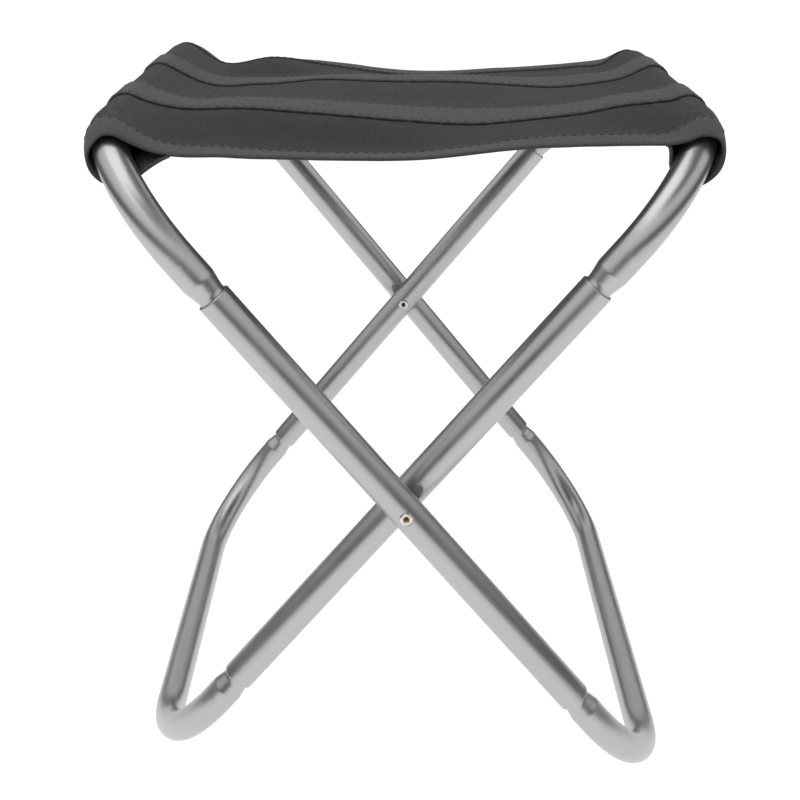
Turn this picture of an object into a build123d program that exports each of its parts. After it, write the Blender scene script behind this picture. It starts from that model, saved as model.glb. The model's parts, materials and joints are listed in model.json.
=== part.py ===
"""Folding camp stool: two nested tube hoops crossing on a rivet each side, with a sling seat between their top rails.

Frame: +Z up, X across the stool from rail to rail, Y along the pivot axis (front is -Y).
Origin: on the floor, under the middle of the stool. Millimetres.
"""
from build123d import *
from math import acos, asin, atan2, cos, degrees, hypot, radians, sin, sqrt
import os

# Tube stock
TUBE_OD = 12.5
TUBE_WALL = 1.0

# Hoops, measured from the pivot axis in the plane of each hoop
LEAN_DEG = 39.0             # each hoop leans this far from the vertical when the stool is open
RAIL_REACH = 165.5          # pivot axis to the seat rail's axis
FOOT_REACH = 161.5          # pivot axis to the foot bar's axis
BEND_R = 45.0               # corner radius at the tube's axis
HOOP_MEAN_HALF_DEPTH = 116.7
HOOP_SPACING = 12.8         # outer leg axis to inner leg axis

# Straight leg tubes and the swaged ends that plug into them
LEG_LENGTH = 208.0
LIP_ROUND = 0.45
NECK_CLEARANCE = 0.05
NECK_INSERT = 25.0          # length of neck inside the leg
NECK_SHOW = 1.6             # length of neck left outside the leg's lip
SWAGE_LENGTH = 5.5
SWAGE_BLEND = 4.0

# Pivots
DIMPLE_DEPTH = 0.9
DIMPLE_SPHERE_R = 45.0
RIVET_SHANK_R = 1.6
RIVET_BORE_R = 1.0
RIVET_ROLL_R = 0.7
RIVET_ROLL_LIFT = 0.25
RIVET_HOLE_R = 1.65
RIVET_SEAT_R = 2.6
RIVET_SEAT_DEPTH = 0.5
RIVET_END_PLAY = 0.1
WASHER_R = 3.75
WASHER_HOLE_R = 1.7
WASHER_THICKNESS = 1.5

# Sling seat
CLOTH = 1.0
TAPE = 0.8
SLEEVE_CLEARANCE = 0.6      # cloth to rail, over the top of the rail
SLEEVE_BELLY_R = 9.6        # inner radius of the slack loop under the rail
SEAT_DROP = 6.0             # middle of the seat below the rails' axes
SEAM_INSET = 24.0           # rail axis to the seam that closes the sleeve
HALF_DEPTH_OUTER = 101.0    # half the cloth's depth at the outer hoop's rail
HALF_DEPTH_INNER = 91.0     # and at the inner hoop's rail
BEND_SETBACK = {"left": 6.0, "right": 9.0}      # each sleeve stops short of the cloth's ends, clear of the bends
CREASE_GAP = 0.2
HEM_TAPE_WIDTH = 13.0
SEAT_TAPE_WIDTH = 25.0
SEAT_TAPE_MIDDLES = {"front_seat_tape": -40.0, "rear_seat_tape": 40.0}
TAPE_WRAP_DEG = 110.0       # how far the tapes run round the outside of each rail

# Worked out from the above
TUBE_R = TUBE_OD / 2
BORE_R = TUBE_R - TUBE_WALL
NECK_R = BORE_R - NECK_CLEARANCE
HALF_LEG = LEG_LENGTH / 2
HALF_DEPTH = {"outer": HOOP_MEAN_HALF_DEPTH + HOOP_SPACING / 2, "inner": HOOP_MEAN_HALF_DEPTH - HOOP_SPACING / 2}
LEAN = radians(LEAN_DEG)
PIVOT_Z = TUBE_R + FOOT_REACH * cos(LEAN)
RAIL_X = RAIL_REACH * sin(LEAN)
RAIL_Z = PIVOT_Z + RAIL_REACH * cos(LEAN)
SLEEVE_R = TUBE_R + SLEEVE_CLEARANCE
SLEEVE_MID_R = SLEEVE_R + CLOTH / 2
# One arc that is level at the crease and tangent to the sleeve over the rail
SAG_R = (RAIL_X**2 + SEAT_DROP**2 - SLEEVE_MID_R**2) / (2 * (SLEEVE_MID_R + SEAT_DROP))
SAG_CENTRE_Z = RAIL_Z - SEAT_DROP + SAG_R
TANGENT = asin(RAIL_X / (SAG_R + SLEEVE_MID_R))
FULL_DEPTH = 2 * HALF_DEPTH_OUTER + 20

parts = {}


# ---- tube hoops, drawn upright in the YZ plane about the pivot axis ----

def along_y(shape):
    """Turn a shape drawn along Z so that it lies along Y."""
    return Rot(90, 0, 0) * shape


def swaged_arm(start, end):
    """Straight end of a U tube on the Z axis: neck, swage and full-size tube up to end."""
    swage_start = HALF_LEG + NECK_SHOW
    swage_end = swage_start + SWAGE_LENGTH
    outline = Polyline(
        (NECK_R - TUBE_WALL, start), (NECK_R, start), (NECK_R, swage_start), (TUBE_R, swage_end),
        (TUBE_R, end), (BORE_R, end), (BORE_R, swage_end), (NECK_R - TUBE_WALL, swage_start), close=True)
    section = make_face(outline)
    shoulders = [v for v in section.vertices()
                 if min(abs(v.Y - swage_start), abs(v.Y - swage_end)) < 1e-6]
    section = fillet(shoulders, SWAGE_BLEND)
    return revolve(Plane.XZ * section, Axis.Z)


def u_tube(half_depth, reach):
    """U-shaped tube: two swaged arms, two corner bends and the straight bar across the top."""
    straight_end = HALF_LEG + NECK_SHOW + SWAGE_LENGTH + 4
    path = FilletPolyline(
        (0, -half_depth, straight_end), (0, -half_depth, reach), (0, half_depth, reach),
        (0, half_depth, straight_end), radius=BEND_R)
    at_start = Plane(origin=path @ 0, z_dir=path % 0)
    bar = sweep(at_start * Circle(TUBE_R), path) - sweep(at_start * Circle(BORE_R), path)
    arm = swaged_arm(HALF_LEG - NECK_INSERT, straight_end)
    return bar + Pos(0, -half_depth, 0) * arm + Pos(0, half_depth, 0) * arm


def leg(half_depth, side, dimple_side):
    """Straight leg tube through the pivot, pressed in where the other hoop's leg crosses it."""
    blank = fillet(Cylinder(TUBE_R, LEG_LENGTH).edges().filter_by(GeomType.CIRCLE), LIP_ROUND)
    dimple_at = Pos(0, dimple_side * (TUBE_R - DIMPLE_DEPTH + DIMPLE_SPHERE_R), 0)
    outside = blank - dimple_at * Sphere(DIMPLE_SPHERE_R)
    inside = Cylinder(BORE_R, LEG_LENGTH + 1) - dimple_at * Sphere(DIMPLE_SPHERE_R + TUBE_WALL)
    seat_at = Pos(0, -dimple_side * (TUBE_R - RIVET_SEAT_DEPTH + TUBE_R / 2), 0)
    tube = outside - inside - along_y(Cylinder(RIVET_HOLE_R, TUBE_OD + 2))
    tube -= seat_at * along_y(Cylinder(RIVET_SEAT_R, TUBE_R))
    return Pos(0, side * half_depth, 0) * tube


def lean_and_lift(shape, hoop):
    """Lean an upright hoop piece to its open position and lift it to the pivot's height."""
    lean = -LEAN_DEG if hoop == "outer" else LEAN_DEG
    return Pos(0, 0, PIVOT_Z) * Rot(0, lean, 0) * shape


for hoop, half_depth in HALF_DEPTH.items():
    towards_other = 1 if hoop == "inner" else -1
    pieces = {
        "seat_rail": u_tube(half_depth, RAIL_REACH),
        "foot_bar": Rot(0, 180, 0) * u_tube(half_depth, FOOT_REACH),
        "front_leg": leg(half_depth, -1, -towards_other),
        "rear_leg": leg(half_depth, 1, towards_other),
    }
    for piece, shape in pieces.items():
        parts[f"{hoop}_{piece}"] = lean_and_lift(shape, hoop)


# ---- pivots ----

def pivot_rivet():
    """Hollow rivet along Y: rolled over outside the outer leg and inside the inner leg, front pivot."""
    outer_seat = HALF_DEPTH["outer"] + TUBE_R - RIVET_SEAT_DEPTH
    inner_seat = HALF_DEPTH["inner"] - TUBE_R + RIVET_SEAT_DEPTH - RIVET_END_PLAY
    shank_wall = RIVET_SHANK_R - RIVET_BORE_R
    section = Pos(RIVET_BORE_R + shank_wall / 2, (outer_seat + inner_seat) / 2) * Rectangle(
        shank_wall, outer_seat - inner_seat + RIVET_ROLL_LIFT)
    for seat, outward in ((outer_seat, 1), (inner_seat, -1)):
        roll = Pos(RIVET_BORE_R + RIVET_ROLL_R, seat + outward * RIVET_ROLL_LIFT) * Circle(RIVET_ROLL_R)
        beyond_seat = Pos(RIVET_BORE_R, seat + outward * TUBE_R / 2) * Rectangle(TUBE_R, TUBE_R)
        section += roll & beyond_seat
    return along_y(revolve(Plane.XZ * section, Axis.Z))


def pivot_washer():
    """Flat spacer in the two pressed dimples, front pivot."""
    ring = Cylinder(WASHER_R, WASHER_THICKNESS) - Cylinder(WASHER_HOLE_R, WASHER_THICKNESS)
    return Pos(0, -HOOP_MEAN_HALF_DEPTH, 0) * along_y(ring)


for piece, shape in {"pivot_rivet": pivot_rivet(), "pivot_washer": pivot_washer()}.items():
    placed = Pos(0, 0, PIVOT_Z) * shape
    parts[f"front_{piece}"] = placed
    parts[f"rear_{piece}"] = mirror(placed, Plane.XZ)


# ---- sling seat, drawn as a section at the left rail and mirrored for the right ----

def ring(centre, inner_r, outer_r):
    return Pos(*centre) * (Circle(outer_r) - Circle(inner_r))


def wedge(centre, start_deg, end_deg, reach):
    """Pie slice from start to end, anticlockwise, wide enough to trim a ring of that reach."""
    steps = 8
    rim = [(start_deg + (end_deg - start_deg) * i / steps) for i in range(steps + 1)]
    points = [(0, 0)] + [(2 * reach * cos(radians(a)), 2 * reach * sin(radians(a))) for a in rim]
    return Pos(*centre) * make_face(Polyline(*points, close=True))


def through(section):
    """Stretch a section drawn in X and Z right through the seat's depth."""
    return extrude(Plane.XZ * section, FULL_DEPTH / 2, both=True)


RAIL = (-RAIL_X, RAIL_Z)
SAG_CENTRE = (0, SAG_CENTRE_Z)
TANGENT_DEG = 90 - degrees(TANGENT)     # direction, from the rail's axis, of the panel's first point
SAG_START_DEG = 270 - degrees(TANGENT)
SAG_END_DEG = 270 - degrees(asin(CREASE_GAP / 2 / SAG_R))


def sag_layer(near, far):
    """Part of the seat between two distances below the sag's centre, from the rail to the crease."""
    return ring(SAG_CENTRE, near, far) & wedge(SAG_CENTRE, SAG_START_DEG, SAG_END_DEG, far)


def panel_section():
    return sag_layer(SAG_R - CLOTH / 2, SAG_R + CLOTH / 2)


def tape_section():
    """Tape on top of the panel, carried on over the rail and down its outside."""
    over_rail = ring(RAIL, SLEEVE_R + CLOTH, SLEEVE_R + CLOTH + TAPE)
    over_rail &= wedge(RAIL, TANGENT_DEG, TANGENT_DEG + TAPE_WRAP_DEG, TUBE_OD)
    top = SAG_R - CLOTH / 2
    return sag_layer(top - TAPE, top) + over_rail


def sleeve_section():
    """Loop round the rail: close over the top, slack below, and back up to the panel at the seam."""
    over_rail = ring(RAIL, SLEEVE_R, SLEEVE_R + CLOTH) & wedge(RAIL, TANGENT_DEG, 180, TUBE_OD)
    belly = (RAIL[0] - SLEEVE_R + SLEEVE_BELLY_R, RAIL[1])
    belly_mid_r = SLEEVE_BELLY_R + CLOTH / 2
    seam_x = RAIL[0] + SEAM_INSET
    seam = (seam_x, SAG_CENTRE_Z - sqrt(SAG_R**2 - seam_x**2))
    to_seam = (seam[0] - belly[0], seam[1] - belly[1])
    leave = atan2(to_seam[1], to_seam[0]) - acos(belly_mid_r / hypot(*to_seam))
    under_rail = ring(belly, SLEEVE_BELLY_R, SLEEVE_BELLY_R + CLOTH)
    under_rail &= wedge(belly, 180, 360 + degrees(leave), SLEEVE_BELLY_R + CLOTH)
    off = (cos(leave), sin(leave))
    flap_start = [(belly[0] + off[0] * r, belly[1] + off[1] * r) for r in (SLEEVE_BELLY_R, SLEEVE_BELLY_R + CLOTH)]
    flap_end = [(seam[0] + off[0] * d, seam[1] + off[1] * d) for d in (CLOTH / 2, -CLOTH / 2)]
    flap = make_face(Polyline(*flap_start, *flap_end, close=True))
    return over_rail + under_rail + flap


def half_depth_at(x):
    """Half the cloth's depth at x: it narrows evenly from the outer rail to the inner one."""
    share = (x + RAIL_X) / (2 * RAIL_X)
    return HALF_DEPTH_OUTER + (HALF_DEPTH_INNER - HALF_DEPTH_OUTER) * share


def strip(front, back):
    """Upright block over the whole stool between two lines, each given as its Y at the left and right end."""
    reach = RAIL_X + 3 * TUBE_OD
    outline = Polyline((-reach, front(-reach)), (reach, front(reach)), (reach, back(reach)),
                       (-reach, back(-reach)), close=True)
    return Pos(0, 0, RAIL_Z - 5 * TUBE_OD) * extrude(make_face(outline), 10 * TUBE_OD)


def front_hem(x):
    return -half_depth_at(x)


strips = {
    "front_hem_tape": strip(front_hem, lambda x: front_hem(x) + HEM_TAPE_WIDTH),
    "rear_hem_tape": strip(lambda x: half_depth_at(x) - HEM_TAPE_WIDTH, half_depth_at),
}
for name, middle in SEAT_TAPE_MIDDLES.items():
    front_edge, back_edge = middle - SEAT_TAPE_WIDTH / 2, middle + SEAT_TAPE_WIDTH / 2
    strips[name] = strip(lambda x, y=front_edge: y, lambda x, y=back_edge: y)

whole_cloth = strip(front_hem, half_depth_at)
panel = through(panel_section())
sleeve = through(sleeve_section()) - panel
tape = through(tape_section())
for side in ("left", "right"):
    def sided(shape):
        return shape if side == "left" else mirror(shape, Plane.YZ)

    setback = BEND_SETBACK[side]
    sleeve_strip = strip(lambda x: front_hem(x) + setback, lambda x: half_depth_at(x) - setback)
    parts[f"{side}_sleeve"] = sided(sleeve) & sleeve_strip
    parts[f"{side}_seat_panel"] = sided(panel) & whole_cloth
    for name, band in strips.items():
        parts[f"{side}_{name}"] = sided(tape) & band

os.makedirs("parts", exist_ok=True)
for name, shape in parts.items():
    export_step(shape, f"parts/{name}.step")
print(f"{len(parts)} nodes; pivot z {PIVOT_Z:.3f}, rail x {RAIL_X:.3f} z {RAIL_Z:.3f}, sag radius {SAG_R:.1f}")
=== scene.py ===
import json
import math
from functools import lru_cache

import bpy
import numpy as np
from mathutils import Matrix, Vector, noise


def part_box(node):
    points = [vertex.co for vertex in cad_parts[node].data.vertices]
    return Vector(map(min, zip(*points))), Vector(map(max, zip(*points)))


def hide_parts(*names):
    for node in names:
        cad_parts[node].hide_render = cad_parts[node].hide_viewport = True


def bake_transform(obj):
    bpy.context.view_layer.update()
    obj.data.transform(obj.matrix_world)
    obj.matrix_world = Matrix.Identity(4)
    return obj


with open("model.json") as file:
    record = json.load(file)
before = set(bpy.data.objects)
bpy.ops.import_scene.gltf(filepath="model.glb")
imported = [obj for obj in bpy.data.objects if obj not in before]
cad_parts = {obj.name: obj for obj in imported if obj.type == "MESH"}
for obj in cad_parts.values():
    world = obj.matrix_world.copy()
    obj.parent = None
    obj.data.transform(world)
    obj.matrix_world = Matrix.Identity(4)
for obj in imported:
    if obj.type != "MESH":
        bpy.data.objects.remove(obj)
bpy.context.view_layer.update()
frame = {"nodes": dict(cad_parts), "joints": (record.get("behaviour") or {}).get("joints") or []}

# The looks of the folding stool. The frame's tubes, rivets and washers are the CAD's own, with new materials.
# The sling is built here from one slack surface: two halves of cloth that wrap the rails, straps, hems and stitches.
# Lengths are in millimetres and turn to metres where a mesh is made.

MM = 0.001
SIDES = {"left": -1, "right": 1}
HOOPS = {"left": "outer", "right": "inner"}
JOINTS = {joint["name"]: joint for joint in frame["joints"]}
RAIL_X = {side: abs(JOINTS[f"{side}_sleeve_turn"]["pos_m"][0]) / MM for side in SIDES}
RAIL_Z = JOINTS["left_sleeve_turn"]["pos_m"][2] / MM
PIVOT_Z = JOINTS["fold"]["pos_m"][2]

TUBE_R = 6.25
BEND_R = 45.0
LEAN = math.radians(39)
HOOP_HALF = {side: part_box(f"{hoop}_rear_leg")[1][1] / MM - TUBE_R for side, hoop in HOOPS.items()}

# The cloth
CLOTH = 0.65
HALF_DEPTH = {"front": 100.0, "rear": 96.0}  # at the middle of the seat
DEPTH_TAPER = 5.0  # deeper by this at the left rail, shallower at the right
LEAVE_DEG = 28.0  # where the cloth leaves the rail, from the rail's top
# Radii of the sleeve about its own centre, from the seat over the rail's top and round under it to the foot of the flap
LOOP_DEG = (-LEAVE_DEG, 12.0, 45.0, 90.0, 150.0, 210.0)
LOOP_MIDDLE = (7.0, 7.0, 7.0, 7.1, 9.2, 10.8, 11.0)
LOOP_MOUTH = {
    ("left", "front"): (8.0, 8.0, 7.4, 7.9, 9.0, 10.4, 11.4),
    ("right", "front"): (6.4, 6.5, 7.3, 7.6, 9.6, 12.7, 12.0),
    ("left", "rear"): (7.0, 7.0, 7.4, 8.4, 9.4, 10.6, 11.2),
    ("right", "rear"): (7.0, 7.0, 7.4, 8.2, 9.4, 10.8, 11.2),
}
LOOSE_FROM = 80.0  # the sleeve loosens from here to its mouths
# How closely the sleeve follows the rail's bends
FOLLOW = {("left", "front"): 0.7, ("right", "front"): 0.5, ("left", "rear"): 0.95, ("right", "rear"): 1.0}
FLAP_FOOT_DEG = {"left": 235.0, "right": 246.0}
SEAM_INSET = {"left": 23.5, "right": 15.8}
SEAM_ROWS = (1.5, 5.5)  # stitch rows, inwards from the seam
ALLOWANCE = 8.0
BEND_LIMIT = 38.0  # how far past the bend's start the sleeve is still shaped by it

# Heights of the slack cloth above the rails' axis, along x in each row, for places along y. They were set by hand,
# guided by heights that a scratch script projected back from the photo's seat lines.
SLACK_X = (-88.0, -62.0, -35.0, 0.0, 20.0, 45.0, 66.0, 80.0, 92.0)
SLACK = {
    -100.0: (-1.8, -4.3, -5.5, -5.5, -3.9, -1.7, -1.1, -0.9, -0.5),
    -87.0: (-1.3, -4.6, -6.5, -6.9, -4.8, -1.7, -0.9, -0.5, 0.2),
    -53.0: (2.3, 1.6, 0.0, -2.6, -3.5, -1.8, 0.5, 3.3, 4.6),
    -12.0: (0.6, 0.0, -0.2, -1.8, -2.4, -2.0, -0.8, 1.4, 3.2),
    25.0: (-0.8, -2.3, -0.4, -1.0, -1.0, -2.2, -2.6, -0.8, 1.8),
    51.0: (-1.2, -3.8, -2.8, -2.5, -2.4, -2.8, -2.6, -1.0, 1.0),
    84.0: (-2.2, 0.0, -3.4, -7.0, -6.8, -5.0, -3.6, -2.2, -0.6),
    96.0: (-4.6, -2.4, -3.6, -7.0, -7.0, -5.2, -3.8, -2.4, -0.8),
}

STRAP_WIDTH = 25.0
STRAP = 0.95
# Front edge of each strap at the left rail, in the middle and at the right rail
STRAPS = {"front": (-54.0, -53.0, -50.0), "rear": (19.0, 26.5, 21.0)}
# A strap's section from its front edge: distances inwards, and the upper face's height as a share of STRAP
STRAP_IN = (0.0, 0.25, 0.9, 1.8, 2.8, 6.0, 9.5, 12.5, 15.5, 19.0, 22.2, 23.2, 24.1, 24.75, 25.0)
STRAP_TOP = (0.55, 0.92, 1.0, 0.86, 1.0, 1.02, 1.03, 1.04, 1.03, 1.02, 1.0, 0.86, 1.0, 0.85, 0.4)
STRAP_STITCHED = (1.8, 23.2)  # the sunk rows that carry the stitches
# Thickness of the black thread laid along each strap's front edge, which paints the shadow line under that edge
STRAP_EDGE_SHADE_THREAD = {"front": 0.62, "rear": 0.42}

# A hem's section from the cloth's edge: distances inwards, and its upper and lower faces above the cloth's outer face
HEM_IN = (-0.55, -0.42, 0.0, 0.8, 2.5, 5.0, 7.5, 10.0, 11.4, 12.4, 13.0)
HEM_TOP = (-0.30, 0.0, 0.32, 0.48, 0.56, 0.54, 0.58, 0.60, 0.50, 0.66, 0.02)
HEM_BOTTOM = (-0.36, -0.65, -0.95, -1.08, -1.12, -1.12, -1.12, -1.10, -1.08, -1.05, -0.68)
HEM_STITCHED, HEM_END = 11.4, 13.0


def smooth(t):
    t = min(1.0, max(0.0, t))
    return t * t * (3 - 2 * t)


def spline(xs, zs, x, slopes=(None, None)):
    """Smooth curve through the points, with the slopes given at its ends, if any."""
    last = len(xs) - 1
    i = 0
    while i < last - 1 and x > xs[i + 1]:
        i += 1

    def slope(k):
        if k == 0:
            return slopes[0] if slopes[0] is not None else (zs[1] - zs[0]) / (xs[1] - xs[0])
        if k == last:
            return slopes[1] if slopes[1] is not None else (zs[k] - zs[k - 1]) / (xs[k] - xs[k - 1])
        before, after = xs[k] - xs[k - 1], xs[k + 1] - xs[k]
        return ((zs[k] - zs[k - 1]) / before * after + (zs[k + 1] - zs[k]) / after * before) / (before + after)

    step = xs[i + 1] - xs[i]
    t = (x - xs[i]) / step
    start, end = slope(i) * step, slope(i + 1) * step
    return (
        (2 * t ** 3 - 3 * t ** 2 + 1) * zs[i] + (t ** 3 - 2 * t ** 2 + t) * start
        + (3 * t ** 2 - 2 * t ** 3) * zs[i + 1] + (t ** 3 - t ** 2) * end
    )


def half_depth(side, s, end):
    return HALF_DEPTH[end] - DEPTH_TAPER * SIDES[side] * min(s, 1.0)


def end_of(y):
    return "front" if y < 0 else "rear"


@lru_cache(maxsize=None)
def loop(side, y):
    """The sleeve's section at y: its centre, outwards and up from the seat's middle at the rails' height, and radii."""
    end = end_of(y)
    past = min(BEND_LIMIT, max(0.0, abs(y) - (HOOP_HALF[side] - BEND_R)))
    drop = FOLLOW[side, end] * (BEND_R - math.sqrt(BEND_R ** 2 - past ** 2))
    loose = smooth((abs(y) - LOOSE_FROM) / (half_depth(side, 1.0, end) - LOOSE_FROM))
    radii = tuple(a + (b - a) * loose for a, b in zip(LOOP_MIDDLE, LOOP_MOUTH[side, end]))
    return RAIL_X[side] - drop * math.sin(LEAN), -drop * math.cos(LEAN), radii


@lru_cache(maxsize=None)
def leave(side, y):
    """Where the seat's cloth leaves the rail."""
    x, z, radii = loop(side, y)
    angle = math.radians(LEAVE_DEG)
    return x - radii[0] * math.sin(angle), z + radii[0] * math.cos(angle)


@lru_cache(maxsize=None)
def section(y):
    """The seat's knots across x at y."""
    middle_depth = HALF_DEPTH[end_of(y)]
    zs = []
    for k, x in enumerate(SLACK_X):
        depth = middle_depth - DEPTH_TAPER * x / RAIL_X["right"]
        zs.append(spline(list(SLACK), [row[k] for row in SLACK.values()], y * middle_depth / depth))
    left, right = leave("left", y), leave("right", y)
    return (-left[0],) + SLACK_X + (right[0],), (left[1],) + tuple(zs) + (right[1],)


def panel(x, y):
    """Height of the seat's upper face above the rails' axis."""
    xs, zs = section(y)
    slope = math.tan(math.radians(LEAVE_DEG))
    z = spline(xs, zs, x, (-slope, slope))
    side = "left" if x < 0 else "right"
    away = smooth((leave(side, y)[0] - abs(x)) / 16)
    broad = 0.35 * noise.noise(Vector((x / 31, y / 22, 3.1)))
    fine = 0.12 * noise.noise(Vector((x / 9, y / 12, 7.7)))
    return z + away * (broad + fine)


def surface(side, s, y):
    """A point of the cloth's outer face. s runs over the seat from its middle (0 to 1), round the rail (to 2), up the
    flap to the seam (to 3), and along the seam's allowance under the seat (to 4)."""
    sign = SIDES[side]
    if s <= 1:
        x = s * leave(side, y)[0]
        return sign * x, y, panel(sign * x, y)
    centre_x, centre_z, radii = loop(side, y)
    foot = FLAP_FOOT_DEG[side]

    def around(degrees):
        r = spline(LOOP_DEG + (foot,), radii, degrees, (0.0, None))
        angle = math.radians(degrees)
        return centre_x + r * math.sin(angle), centre_z + r * math.cos(angle)

    if s <= 2:
        x, z = around(-LEAVE_DEG + (s - 1) * (LEAVE_DEG + foot))
        return sign * x, y, z
    under = 2 * CLOTH + 0.1
    seam = RAIL_X[side] - SEAM_INSET[side]
    if s > 3:
        x = seam - (s - 3) * ALLOWANCE
        return sign * x, y, panel(sign * x, y) - under
    t = s - 2
    a = around(foot)
    before = around(foot - 4)
    run = math.hypot(a[0] - before[0], a[1] - before[1])
    b = (a[0] + (a[0] - before[0]) / run * 2.5, a[1] + (a[1] - before[1]) / run * 2.5)
    d = (seam, panel(sign * seam, y) - under)
    c = (seam + 2, panel(sign * (seam + 2), y) - under - 0.8)
    weights = ((1 - t) ** 3, 3 * t * (1 - t) ** 2, 3 * t ** 2 * (1 - t), t ** 3)
    x, z = (sum(w * p[k] for w, p in zip(weights, (a, b, c, d))) for k in (0, 1))
    return sign * x, y, z


def s_steps(stop, fine=1.0):
    """Places along s, closer together round the rail, up to stop."""
    counts = (84, 54, 14, 6)
    steps = []
    for part, count in enumerate(counts):
        count = round(count * fine)
        steps += [part + k / count for k in range(count)]
    return [s for s in steps + [4.0] if s <= stop + 1e-9]


class Patch:
    """Part of the cloth's outer face as a grid: points, normals out of the cloth, and the lie of its threads."""

    def __init__(self, side, s_list, rows):
        """rows are functions from s to y."""
        points = np.array([[surface(side, s, row(s)) for row in rows] for s in s_list])
        across = np.gradient(points, axis=1)
        along = np.gradient(points, axis=0)
        normals = np.cross(along, across) * SIDES[side]
        self.normals = normals / np.linalg.norm(normals, axis=2, keepdims=True)
        self.points = points
        middle = points[:, len(rows) // 2]
        run = np.concatenate([[0], np.cumsum(np.linalg.norm(np.diff(middle, axis=0), axis=1))])
        self.arc = np.repeat(run[:, None] * SIDES[side], len(rows), axis=1)
        crest = np.array([math.exp(-((s - 1.09) / 0.12) ** 2) for s in s_list])
        self.crest = np.repeat(crest[:, None], len(rows), axis=1)

    def lifted(self, heights):
        return self.points + self.normals * np.asarray(heights)[..., None]


def new_object(name, vertices, faces, material, smooth_deg=50):
    mesh = bpy.data.meshes.new(name)
    mesh.from_pydata([tuple(v) for v in vertices], [], faces)
    mesh.update()
    mesh.polygons.foreach_set("use_smooth", [True] * len(mesh.polygons))
    mesh.set_sharp_from_angle(angle=math.radians(smooth_deg))
    obj = bpy.data.objects.new(name, mesh)
    bpy.context.scene.collection.objects.link(obj)
    mesh.materials.append(material)
    return obj


def to_frame(points):
    """Millimetres about the rails' height to metres of the frame."""
    return (np.asarray(points).reshape(-1, 3) + (0, 0, RAIL_Z)) * MM


def thick(name, patch, top, bottom, material, wear=None, under=None):
    """A closed sheet between two offsets of a patch. The attribute "lay" holds its threads' lie and its wear. Its lower
    face may have a material of its own."""
    rows, columns = patch.points.shape[:2]
    upper = patch.lifted(np.broadcast_to(top, (rows, columns)))
    lower = patch.lifted(np.broadcast_to(bottom, (rows, columns)))
    vertices = np.concatenate([to_frame(upper), to_frame(lower)])
    count = rows * columns

    def at(i, j, layer):
        return layer * count + i * columns + j

    flip = patch.arc[-1, 0] < 0
    faces = []

    def quad(*corners):
        faces.append(corners if flip else corners[::-1])

    for i in range(rows - 1):
        for j in range(columns - 1):
            quad(at(i, j, 0), at(i, j + 1, 0), at(i + 1, j + 1, 0), at(i + 1, j, 0))
            quad(at(i, j, 1), at(i + 1, j, 1), at(i + 1, j + 1, 1), at(i, j + 1, 1))
    for i in range(rows - 1):
        quad(at(i, 0, 0), at(i + 1, 0, 0), at(i + 1, 0, 1), at(i, 0, 1))
        last = columns - 1
        quad(at(i, last, 0), at(i, last, 1), at(i + 1, last, 1), at(i + 1, last, 0))
    for j in range(columns - 1):
        quad(at(0, j, 0), at(0, j, 1), at(0, j + 1, 1), at(0, j + 1, 0))
        last = rows - 1
        quad(at(last, j, 0), at(last, j + 1, 0), at(last, j + 1, 1), at(last, j, 1))
    obj = new_object(name, vertices, faces, material)
    if under is not None:
        obj.data.materials.append(under)
        for polygon in obj.data.polygons:
            polygon.material_index = int(min(polygon.vertices) >= count)
    lie = np.stack([patch.arc * MM, patch.points[..., 1] * MM, patch.crest if wear is None else wear], axis=-1)
    lie = np.tile(lie.reshape(-1, 3), (2, 1))
    obj.data.attributes.new("lay", "FLOAT_VECTOR", "POINT").data.foreach_set("vector", lie.ravel())
    return obj


def stitches(name, rows, material, pitch=3.3, length=2.5, thick_r=0.24):
    """Rows of sewn stitches: each a short arched thread whose ends dip into the cloth. A row is (points, normals)."""
    vertices, faces = [], []
    shape = ((-0.5, 0.35, -0.22), (-0.36, 0.85, -0.04), (0.0, 1.0, 0.05), (0.36, 0.85, -0.04), (0.5, 0.35, -0.22))
    sides = 6
    for points, normals in rows:
        run = np.concatenate([[0], np.cumsum(np.linalg.norm(np.diff(points, axis=0), axis=1))])
        for k in range(int(run[-1] / pitch)):
            centre = (k + 0.5) * pitch
            rings = []
            for offset, size, lift in shape:
                where = centre + offset * length
                point = np.array([np.interp(where, run, points[:, c]) for c in range(3)])
                normal = np.array([np.interp(where, run, normals[:, c]) for c in range(3)])
                normal /= np.linalg.norm(normal)
                ahead = np.array([np.interp(where + 0.3, run, points[:, c]) for c in range(3)])
                behind = np.array([np.interp(where - 0.3, run, points[:, c]) for c in range(3)])
                along = (ahead - behind) / np.linalg.norm(ahead - behind)
                beside = np.cross(along, normal)
                rings.append(len(vertices))
                for m in range(sides):
                    turn = 2 * math.pi * m / sides
                    radius = thick_r * size
                    out = normal * (lift + radius * math.cos(turn))
                    vertices.append(point + out + beside * radius * math.sin(turn))
            for a, b in zip(rings, rings[1:]):
                for m in range(sides):
                    n = (m + 1) % sides
                    faces.append((a + m, a + n, b + n, b + m))
            faces.append(tuple(rings[0] + m for m in reversed(range(sides))))
            faces.append(tuple(rings[-1] + m for m in range(sides)))
    return new_object(name, to_frame(vertices), faces, material, 80)


# Materials

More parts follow.
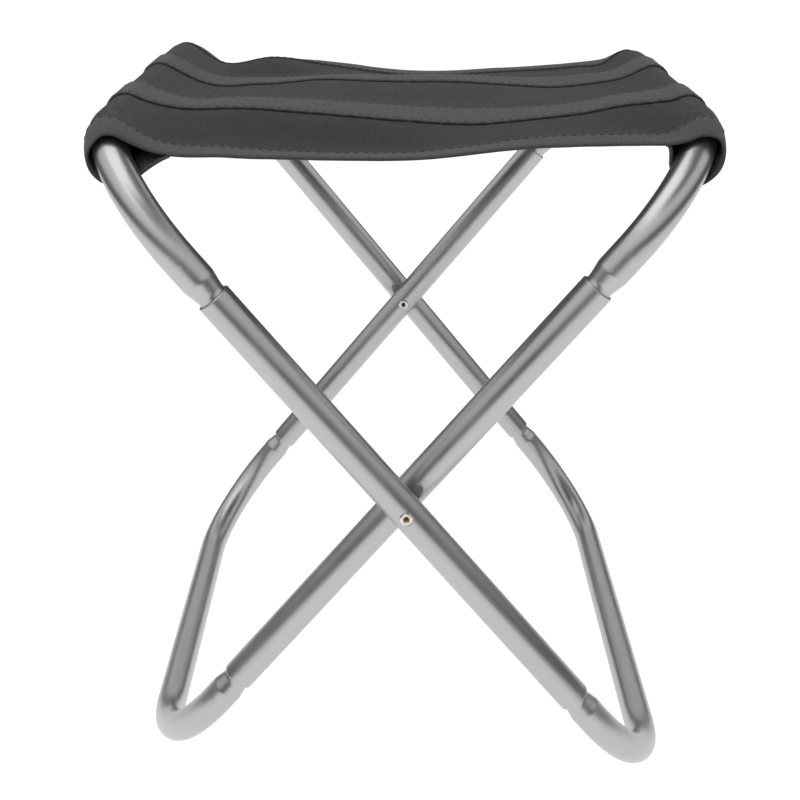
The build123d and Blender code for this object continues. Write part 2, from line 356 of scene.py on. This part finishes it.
class Shader:
    """A procedural material under construction."""

    def __init__(self, name, **values):
        self.material = bpy.data.materials.new(name)
        self.material.use_nodes = True
        self.tree = self.material.node_tree
        self.surface = self.tree.nodes["Principled BSDF"]
        for socket, value in values.items():
            self.surface.inputs[socket.replace("_", " ")].default_value = value

    def node(self, kind, inputs=(), **settings):
        made = self.tree.nodes.new(kind)
        for key, value in settings.items():
            setattr(made, key, value)
        for key, value in dict(inputs).items():
            self.put(made.inputs[key], value)
        return made

    def put(self, socket, value):
        if isinstance(value, bpy.types.NodeSocket):
            self.tree.links.new(value, socket)
        else:
            socket.default_value = value

    def math(self, operation, a, b=0.0, clamp=False):
        return self.node("ShaderNodeMath", {0: a, 1: b}, operation=operation, use_clamp=clamp).outputs[0]

    def mix(self, factor, a, b):
        mixer = self.node("ShaderNodeMix", {"Factor": factor}, data_type="RGBA")
        self.put(mixer.inputs[6], a)
        self.put(mixer.inputs[7], b)
        return mixer.outputs[2]

    def blend(self, factor, a, b):
        return self.node("ShaderNodeMix", {0: factor, 2: a, 3: b}, data_type="FLOAT").outputs[0]

    def noise(self, vector, scale, detail=2.0, roughness=0.5):
        inputs = {"Vector": vector, "Scale": scale, "Detail": detail, "Roughness": roughness}
        return self.node("ShaderNodeTexNoise", inputs).outputs[0]

    def remap(self, value, low, high, out_low=0.0, out_high=1.0):
        inputs = {0: value, 1: low, 2: high, 3: out_low, 4: out_high}
        return self.node("ShaderNodeMapRange", inputs, clamp=True).outputs[0]

    def place(self, scale=(1.0, 1.0, 1.0), turn=(0.0, 0.0, 0.0)):
        coordinates = self.node("ShaderNodeTexCoord").outputs["Object"]
        turned = self.node("ShaderNodeMapping", {"Vector": coordinates, "Rotation": turn})
        return self.node("ShaderNodeMapping", {"Vector": turned.outputs[0], "Scale": scale}).outputs[0]

    def lay(self):
        return self.node("ShaderNodeAttribute", attribute_name="lay").outputs["Vector"]

    def bump(self, height, distance, strength=1.0, under=None):
        inputs = {"Height": height, "Distance": distance, "Strength": strength}
        if under is not None:
            inputs["Normal"] = under
        return self.node("ShaderNodeBump", inputs).outputs[0]

    def finish(self, colour, roughness, normal):
        self.put(self.surface.inputs["Base Color"], colour)
        self.put(self.surface.inputs["Roughness"], roughness)
        self.put(self.surface.inputs["Normal"], normal)
        return self.material


def grey(value, warm=0.0):
    return (value * (1 + warm), value, value * (1 - warm), 1.0)


def aluminium(name, turn, stretch):
    """Satin drawn tube: fine draw lines along it, cloudy anodising, a few rubbed and scratched places."""
    shader = Shader(name, Metallic=1.0, Anisotropic=0.35)
    lines = shader.noise(shader.place(stretch, turn), 900.0, 3.0, 0.6)
    clouds = shader.noise(shader.place(), 38.0, 3.0)
    rubbed = shader.remap(shader.noise(shader.place((1, 1, 1), turn), 120.0, 4.0, 0.7), 0.60, 0.72)
    scratch = shader.remap(shader.noise(shader.place(tuple(4 * v for v in stretch), turn), 260.0, 2.0), 0.70, 0.73)
    colour = shader.mix(clouds, grey(0.42, 0.006), grey(0.50, -0.003))
    colour = shader.mix(shader.math("MULTIPLY", lines, 0.35), colour, grey(0.46))
    colour = shader.mix(shader.math("MULTIPLY", scratch, 0.5), colour, grey(0.74))
    roughness = shader.math("ADD", shader.remap(clouds, 0.3, 0.7, 0.25, 0.33), shader.math("MULTIPLY", lines, 0.10))
    roughness = shader.math("ADD", roughness, shader.math("MULTIPLY", rubbed, 0.08))
    normal = shader.bump(lines, 0.00004, 0.35)
    normal = shader.bump(shader.math("SUBTRACT", 0.0, scratch), 0.00005, 0.4, normal)
    return shader.finish(colour, roughness, normal)


def rivet_metal():
    """A plated head with a brassy hollow."""
    shader = Shader("rivet_plated", Metallic=1.0)
    coordinates = shader.node("ShaderNodeTexCoord").outputs["Object"]
    split = shader.node("ShaderNodeSeparateXYZ", {0: coordinates})
    up = shader.math("SUBTRACT", split.outputs[2], PIVOT_Z)
    squares = [shader.math("POWER", split.outputs[0], 2.0), shader.math("POWER", up, 2.0)]
    radius = shader.math("SQRT", shader.math("ADD", *squares))
    grain = shader.noise(shader.place(), 900.0, 3.0)
    hollow = shader.remap(shader.math("ADD", radius, shader.math("MULTIPLY", grain, 0.0004)), 0.0011, 0.0017, 1.0, 0.0)
    plated = shader.mix(grain, grey(0.66, 0.05), grey(0.84, 0.04))
    colour = shader.mix(hollow, plated, (0.80, 0.66, 0.36, 1.0))
    roughness = shader.blend(hollow, shader.remap(grain, 0.3, 0.7, 0.22, 0.4), 0.75)
    turned = shader.math("SINE", shader.math("MULTIPLY", radius, 42000.0))
    normal = shader.bump(shader.math("ADD", turned, grain), 0.00002, 0.5)
    return shader.finish(colour, roughness, normal)


def washer_nylon():
    """Moulded nylon with a faint moulding grain, paler where it is rubbed."""
    shader = Shader("washer_nylon", Subsurface_Weight=0.0, Specular_IOR_Level=0.45)
    grain = shader.noise(shader.place(), 1400.0, 3.0)
    clouds = shader.noise(shader.place(), 240.0, 2.0)
    colour = shader.mix(clouds, grey(0.025), grey(0.055))
    colour = shader.mix(shader.remap(grain, 0.62, 0.75), colour, grey(0.11))
    return shader.finish(colour, shader.remap(grain, 0.3, 0.7, 0.38, 0.55), shader.bump(grain, 0.00004, 0.5))


CLOTH_PITCH = 0.00062


def woven(shader, pitch=CLOTH_PITCH):
    """Plain weave from the threads' lie: its height, and the wear that comes with the lie."""
    split = shader.node("ShaderNodeSeparateXYZ", {0: shader.lay()})
    u = shader.math("MULTIPLY", split.outputs[0], math.pi / pitch)
    v = shader.math("MULTIPLY", split.outputs[1], math.pi / pitch)
    warp, weft = shader.math("SINE", u), shader.math("SINE", v)
    over = shader.math("GREATER_THAN", shader.math("MULTIPLY", warp, weft), 0.0)
    warp, weft = shader.math("ABSOLUTE", warp), shader.math("ABSOLUTE", weft)
    raised = shader.math("MULTIPLY", warp, shader.math("ADD", shader.math("MULTIPLY", weft, 0.5), 0.5))
    crossed = shader.math("MULTIPLY", weft, shader.math("ADD", shader.math("MULTIPLY", warp, 0.5), 0.5))
    return shader.blend(over, raised, crossed), split.outputs[2]


def cloth():
    """Closely woven polyester canvas, charcoal, a little faded and paler where it rubs over the rails."""
    shader = Shader("seat_cloth_weave", Sheen_Weight=0.22, Sheen_Roughness=0.45, Specular_IOR_Level=0.30)
    height, wear = woven(shader)
    drawn_out = shader.node("ShaderNodeMapping", {"Vector": shader.lay(), "Scale": (1.0, 0.08, 0.0)})
    slubs = shader.noise(drawn_out.outputs[0], 1500.0, 2.0)
    patches = shader.noise(shader.place(), 55.0, 4.0, 0.62)
    colour = shader.mix(height, grey(0.013), grey(0.042))
    colour = shader.mix(shader.remap(slubs, 0.45, 0.75, 0.0, 0.5), colour, grey(0.066, 0.01))
    mottle = shader.noise(shader.place(), 210.0, 3.0, 0.7)
    colour = shader.mix(shader.remap(mottle, 0.40, 0.66, 0.0, 0.45), colour, grey(0.014))
    colour = shader.mix(shader.remap(patches, 0.35, 0.7, 0.0, 0.5), colour, grey(0.054, 0.01))
    rubbed = shader.remap(shader.noise(shader.place(), 300.0, 3.0), 0.4, 0.65)
    rub = shader.math("MULTIPLY", wear, rubbed, clamp=True)
    colour = shader.mix(shader.math("MULTIPLY", rub, 0.5), colour, grey(0.12, 0.01))
    roughness = shader.remap(patches, 0.3, 0.7, 0.78, 0.90)
    normal = shader.bump(shader.math("ADD", height, shader.math("MULTIPLY", slubs, 0.4)), 0.00016, 0.75)
    normal = shader.bump(patches, 0.0012, 0.35, normal)
    return shader.finish(colour, roughness, normal)


def backing():
    """The cloth's coated inner face: slightly glossy, with the weave showing through, and near black as painted shade
    for the insides of the sleeves.
    """
    shader = Shader("seat_cloth_backing_and_shade", Specular_IOR_Level=0.35)
    height, wear = woven(shader)
    film = shader.noise(shader.place(), 90.0, 3.0)
    # Near black: painted shade for the sleeves' insides and the seat's underside
    colour = shader.mix(height, grey(0.006), grey(0.013))
    colour = shader.mix(shader.remap(film, 0.45, 0.75, 0.0, 0.5), colour, grey(0.020))
    normal = shader.bump(shader.math("ADD", height, film), 0.00012, 0.5)
    return shader.finish(colour, shader.remap(film, 0.3, 0.7, 0.5, 0.7), normal)


def webbing(name, pitch, low, high):
    """Ribbed webbing: cords across its length with fine yarns over them, worn at its edges."""
    shader = Shader(name, Sheen_Weight=0.25, Sheen_Roughness=0.4, Specular_IOR_Level=0.35)
    split = shader.node("ShaderNodeSeparateXYZ", {0: shader.lay()})
    wobble = shader.math("MULTIPLY", shader.noise(shader.place(), 260.0, 1.0), 0.0007)
    run = shader.math("ADD", split.outputs[0], wobble)
    rib = shader.math("ABSOLUTE", shader.math("SINE", shader.math("MULTIPLY", run, math.pi / pitch)))
    yarn = shader.math("ABSOLUTE", shader.math("SINE", shader.math("MULTIPLY", split.outputs[1], math.pi / 0.0005)))
    height = shader.math("ADD", shader.math("POWER", rib, 0.6), shader.math("MULTIPLY", yarn, 0.25))
    patches = shader.noise(shader.place(), 60.0, 3.0, 0.6)
    colour = shader.mix(rib, grey(low), grey(high, 0.005))
    colour = shader.mix(shader.remap(patches, 0.35, 0.7, 0.0, 0.35), colour, grey(high * 1.25, 0.01))
    colour = shader.mix(shader.math("MULTIPLY", split.outputs[2], 0.35, clamp=True), colour, grey(0.16, 0.01))
    normal = shader.bump(height, 0.00022, 0.8)
    return shader.finish(colour, shader.remap(patches, 0.3, 0.7, 0.66, 0.82), normal)


def thread(name, low, high):
    """Twisted polyester thread."""
    shader = Shader(name, Sheen_Weight=0.1, Specular_IOR_Level=0.45)
    askew = shader.place((1, 1, 1), (0.3, 0.5, 0.8))
    twist = shader.node("ShaderNodeTexWave", {"Vector": askew, "Scale": 900.0, "Distortion": 1.0})
    fuzz = shader.noise(shader.place(), 1800.0, 2.0)
    colour = shader.mix(twist.outputs[1], grey(low), grey(high))
    return shader.finish(colour, shader.remap(fuzz, 0.3, 0.7, 0.5, 0.7), shader.bump(twist.outputs[1], 0.00006, 0.6))


def floor_paper():
    """Pale studio sweep, its fine tooth just visible."""
    shader = Shader("studio_sweep", Specular_IOR_Level=0.1, Emission_Strength=0.97)
    tooth = shader.noise(shader.place(), 500.0, 2.0)
    shader.surface.inputs["Emission Color"].default_value = (1.0, 1.0, 1.0, 1.0)
    return shader.finish(shader.mix(tooth, grey(0.36), grey(0.40)), 0.9, shader.bump(tooth, 0.00002, 0.2))


# Camera, light and floor

CAMERA_AT = (-0.0046, -0.5248, 0.3494)
CAMERA_YAW, CAMERA_PITCH, CAMERA_ROLL = -0.29, -23.41, -0.43  # degrees
CAMERA_LENS = 56.83

camera = bpy.data.objects.new("camera", bpy.data.cameras.new("camera"))
bpy.context.scene.collection.objects.link(camera)
camera.data.lens = CAMERA_LENS
camera.data.sensor_width = 36.0
camera.data.clip_start = 0.01
camera.matrix_world = (
    Matrix.Translation(CAMERA_AT)
    @ Matrix.Rotation(math.radians(CAMERA_YAW), 4, "Z")
    @ Matrix.Rotation(math.radians(CAMERA_PITCH), 4, "X")
    @ Matrix.Rotation(math.radians(CAMERA_ROLL), 4, "Y")
    @ Matrix.Rotation(math.pi / 2, 4, "X")
)
bpy.context.scene.camera = camera
bpy.context.scene.view_settings.view_transform = "Standard"

world = bpy.data.worlds.new("studio")
bpy.context.scene.world = world
world.use_nodes = True
world.node_tree.nodes["Background"].inputs["Color"].default_value = (0.97, 0.98, 1.0, 1.0)
world.node_tree.nodes["Background"].inputs["Strength"].default_value = 0.18


def softbox(name, at, towards, size, watts):
    light = bpy.data.lights.new(name, "AREA")
    light.shape = "RECTANGLE"
    light.size, light.size_y = size
    light.energy = watts
    lamp = bpy.data.objects.new(name, light)
    bpy.context.scene.collection.objects.link(lamp)
    lamp.location = at
    lamp.rotation_euler = (Vector(towards) - Vector(at)).to_track_quat("-Z", "Y").to_euler()


softbox("top_light", (-0.4, -0.1, 1.5), (0.0, 0.0, 0.2), (1.3, 1.3), 8.5)
softbox("front_light", (-0.5, -1.3, 1.4), (0.0, 0.0, 0.15), (0.8, 0.8), 3.0)

FLOOR = 8.0
floor = new_object(
    "studio_floor",
    [(-FLOOR, -FLOOR, 0.0), (FLOOR, -FLOOR, 0.0), (FLOOR, FLOOR, 0.0), (-FLOOR, FLOOR, 0.0)],
    [(0, 1, 2, 3)],
    floor_paper(),
)
floor.visible_diffuse = False


def reflection_card():
    """A card round the set, dark low down and pale above, which only reflections see."""
    shader = Shader("studio_surround", Roughness=1.0, Emission_Strength=1.0)
    height = shader.node("ShaderNodeSeparateXYZ", {0: shader.place()}).outputs[2]
    folds = shader.noise(shader.place((1.0, 1.0, 0.1)), 6.0, 1.0)
    tone = shader.mix(shader.remap(height, 0.33, 0.57), grey(0.06), grey(0.95))
    glow = shader.mix(shader.math("MULTIPLY", folds, 0.2), tone, grey(0.05))
    shader.put(shader.surface.inputs["Emission Color"], glow)
    return shader.finish(grey(0.02), 1.0, shader.bump(folds, 0.01, 0.1))


SURROUND_R, SURROUND_TOP = 1.15, 1.3
BACKDROP_R, BACKDROP_FOOT, BACKDROP_TOP = 7.9, -0.5, 9.0
RING_SIDES = 48


def ring_wall(name, radius, foot, top, material, seen_by):
    """An upright wall round the set, which only one kind of ray sees."""
    turns = [k * math.pi * 2 / RING_SIDES for k in range(RING_SIDES)]
    corners = [(radius * math.sin(turn), radius * math.cos(turn), z) for z in (foot, top) for turn in turns]
    pairs = [(k, (k + 1) % RING_SIDES) for k in range(RING_SIDES)]
    wall = new_object(name, corners, [(a, b, RING_SIDES + b, RING_SIDES + a) for a, b in pairs], material)
    for ray in ("camera", "diffuse", "glossy", "transmission", "volume_scatter", "shadow"):
        if ray != seen_by:
            setattr(wall, f"visible_{ray}", False)
    return wall


surround = ring_wall("studio_surround", SURROUND_R, 0.0, SURROUND_TOP, reflection_card(), "glossy")
backdrop = ring_wall(
    "studio_backdrop", BACKDROP_R, BACKDROP_FOOT, BACKDROP_TOP, floor.data.materials[0], "camera"
)

# The frame keeps its CAD shapes

rail_metal = aluminium("aluminium_rail", (0.0, 0.0, 0.0), (1.0, 0.02, 1.0))
leg_metal = {
    "outer": aluminium("aluminium_outer_leg", (0.0, LEAN, 0.0), (1.0, 1.0, 0.02)),
    "inner": aluminium("aluminium_inner_leg", (0.0, -LEAN, 0.0), (1.0, 1.0, 0.02)),
}
rivet_finish, washer_finish = rivet_metal(), washer_nylon()
for name, node in frame["nodes"].items():
    if "rivet" in name:
        finish = rivet_finish
    elif "washer" in name:
        finish = washer_finish
    elif "leg" in name:
        finish = leg_metal[name.split("_")[0]]
    elif "rail" in name or "foot_bar" in name:
        finish = rail_metal
    else:
        continue
    for material_slot in node.material_slots:
        material_slot.material = finish

# The sling

cloth_finish, backing_shade_finish = cloth(), backing()
strap_finish = webbing("seat_strap_webbing", 0.00090, 0.030, 0.105)
hem_finish = webbing("seat_hem_webbing", 0.00085, 0.024, 0.105)
# The black thread sews the hems and also draws the painted shadow lines along the straps' front edges and the rear
# hem's inner edge
black_thread_and_shade, seam_thread = thread("thread_black_and_shade", 0.003, 0.010), thread("thread_charcoal", 0.020, 0.045)
strap_thread = thread("thread_grey", 0.045, 0.085)


def strap_edge(which, side, s):
    at_left, at_middle, at_right = STRAPS[which]
    return at_middle + ((at_left if side == "left" else at_right) - at_middle) * min(s, 1.0) ** 3


def sew(patch, column, lift):
    return patch.points[:, column] + patch.normals[:, column] * lift, patch.normals[:, column]


def cloth_row(side, v):
    """A row at v of the half depth. The cloth stops just short of the hem's fold, and the allowance further in."""
    return lambda s: v * (half_depth(side, s, end_of(v)) - 0.3 - 9 * smooth((s - 2.6) / 0.4))


def seam_row(side, s):
    """A line for stitches at s, from end to end but for 14 mm."""
    rows = [lambda s, k=k: k / 60 * (half_depth(side, min(s, 1), end_of(k)) - 14) for k in range(-60, 61)]
    step = 0.01 if s < 1 else 0.05
    row = Patch(side, [s - step, s, s + step], rows)
    return row.points[1] + row.normals[1] * 0.05, row.normals[1]


for side, sign in SIDES.items():
    pieces = []

    cloth_rows = [cloth_row(side, -1 + k / 66) for k in range(133)]
    body = Patch(side, s_steps(4.0), cloth_rows)
    # The lower face gets the near-black backing, painted shade for the insides of the sleeves
    seat = thick(f"{side}_seat_cloth", body, 0.0, -CLOTH, cloth_finish, under=backing_shade_finish)
    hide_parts(f"{side}_sleeve", f"{side}_seat_panel")

    # Hems: a band folded over the cloth's edge, slimmer round the rail, with dark stitches along its inner edge. On the
    # rear hem a thick, unbroken black thread at that edge paints the shadow under the hem's raised edge.
    sewn = []
    for end, y_sign in (("front", -1), ("rear", 1)):
        order = 1 if end == "front" else -1  # from front to rear
        inwards = HEM_IN[::order]
        rows = [lambda s, w=w: y_sign * (half_depth(side, s, end) - w) for w in inwards]
        band = Patch(side, s_steps(3.0, 1.5), rows)
        edge_wear = np.array([0.9 * math.exp(-((w - 0.2) / 0.9) ** 2) for w in inwards])[None, :]
        wear = np.maximum(np.broadcast_to(edge_wear, band.arc.shape), 0.6 * band.crest)
        slim = np.array([1 - 0.5 * smooth((s - 1.12) / 0.12) for s in s_steps(3.0, 1.5)])[:, None]
        top = np.array(HEM_TOP[::order])[None, :] * slim
        bottom = np.minimum(-CLOTH * 0.5, (np.array(HEM_BOTTOM[::order])[None, :] + CLOTH) * slim - CLOTH)
        hem = thick(f"{side}_{end}_hem", band, top, np.minimum(bottom, top - 0.05), hem_finish, wear)
        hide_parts(f"{side}_{end}_hem_tape")
        sewn.append(sew(band, inwards.index(HEM_STITCHED), 0.50 * slim))
        pieces.append(hem)
    # Painted shadow: an unbroken row of thick black thread along the rear hem's inner edge
    rear_hem_shade_row = sew(band, inwards.index(HEM_END), 0.10)
    pieces.append(stitches(f"{side}_hem_stitches", sewn, black_thread_and_shade))
    pieces.append(stitches(f"{side}_hem_edge_shade_stitches", [rear_hem_shade_row], black_thread_and_shade, 4.1, 4.8, 0.45))

    # Straps across the seat and round the rail
    sewn, edge_shade_rows = [], []
    for which in STRAPS:
        rows = [lambda s, w=w: strap_edge(which, side, s) + w for w in STRAP_IN]
        band = Patch(side, s_steps(2.85, 1.5), rows)
        edge_wear = np.array([math.exp(-(min(w, STRAP_WIDTH - w) / 0.5) ** 2) for w in STRAP_IN])[None, :]
        wear = np.maximum(np.broadcast_to(edge_wear, band.arc.shape), 0.6 * band.crest)
        strap = thick(f"{side}_{which}_strap", band, [STRAP * share for share in STRAP_TOP], 0.02, strap_finish, wear)
        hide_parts(f"{side}_{which}_seat_tape")
        for place in STRAP_STITCHED:
            column = STRAP_IN.index(place)
            sewn.append(sew(band, column, STRAP * STRAP_TOP[column]))
        # A row along the front edge, for the black thread that paints the shadow under the strap's edge
        edge_shade_rows.append(sew(band, 0, 0.22))
        pieces.append(strap)
    pieces.append(stitches(f"{side}_strap_stitches", sewn, strap_thread))
    # Thick black stitches, overlapping into an unbroken line along each strap's front edge: a painted shadow line
    for which, edge_shade_row in zip(STRAPS, edge_shade_rows):
        name = f"{side}_{which}_strap_edge_stitches"
        pieces.append(stitches(name, [edge_shade_row], black_thread_and_shade, 6.1, 7.2, STRAP_EDGE_SHADE_THREAD[which]))

    # The sleeve's seam: two rows through the seat and the allowance under it
    sewn = []
    for extra in SEAM_ROWS:
        sewn.append(seam_row(side, (RAIL_X[side] - SEAM_INSET[side] - extra) / leave(side, 0.0)[0]))
        sewn.append(seam_row(side, 3 + extra / ALLOWANCE))
    pieces.append(stitches(f"{side}_seam_stitches", sewn, seam_thread, thick_r=0.17))

    for piece in [seat] + pieces:
        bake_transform(piece)
